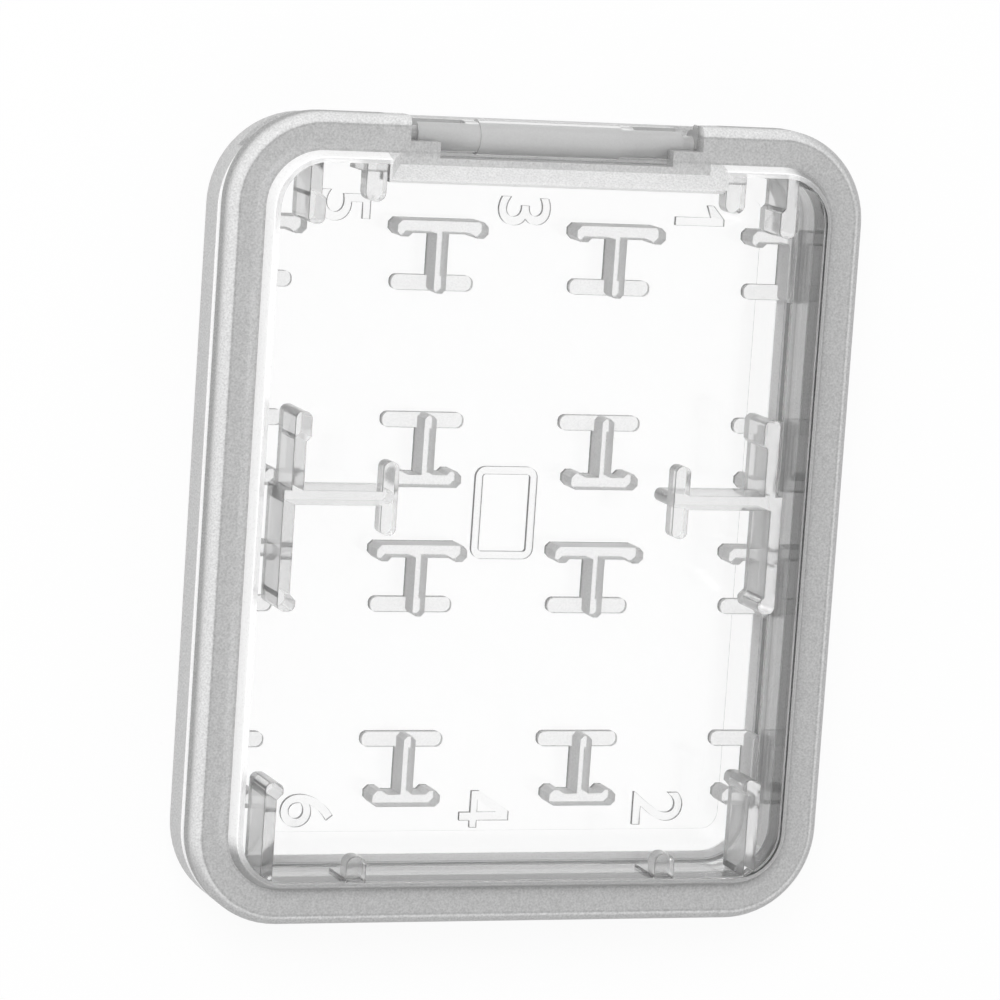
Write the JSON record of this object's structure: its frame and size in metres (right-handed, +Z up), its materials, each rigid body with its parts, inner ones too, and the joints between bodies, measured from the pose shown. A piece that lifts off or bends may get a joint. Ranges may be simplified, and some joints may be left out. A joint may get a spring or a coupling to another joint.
{
  "type": "memory card case",
  "caption": "Flat clear clamshell case with frosted rims and raised windows; stepped I-posts in both halves grip memory cards, and a snap-in pin hinge joins lid and base.",
  "frame": {"origin": "under the middle of the closed case, thumb lip included, on the surface that the case lies on", "axes": "+X across the case, +Y towards the hinge, +Z up from the base to the lid"},
  "size_m": [0.0428, 0.0526, 0.0078],
  "materials": {
    "clear_base": "clear moulded plastic with a fine frosted texture on the rim",
    "clear_lid": "clear moulded plastic with a fine frosted texture on the rim"
  },
  "bodies": {
    "base": {"base_tray": "clear_base"},
    "lid": {"lid_cover": "clear_lid"}
  },
  "joints": [
    {"name": "lid_hinge", "type": "hinge", "parent": "base", "child": "lid", "pos_m": [0, 0.02495, 0.00445], "axis": [-1, 0, 0], "range_deg": [0, 120]}
  ]
}
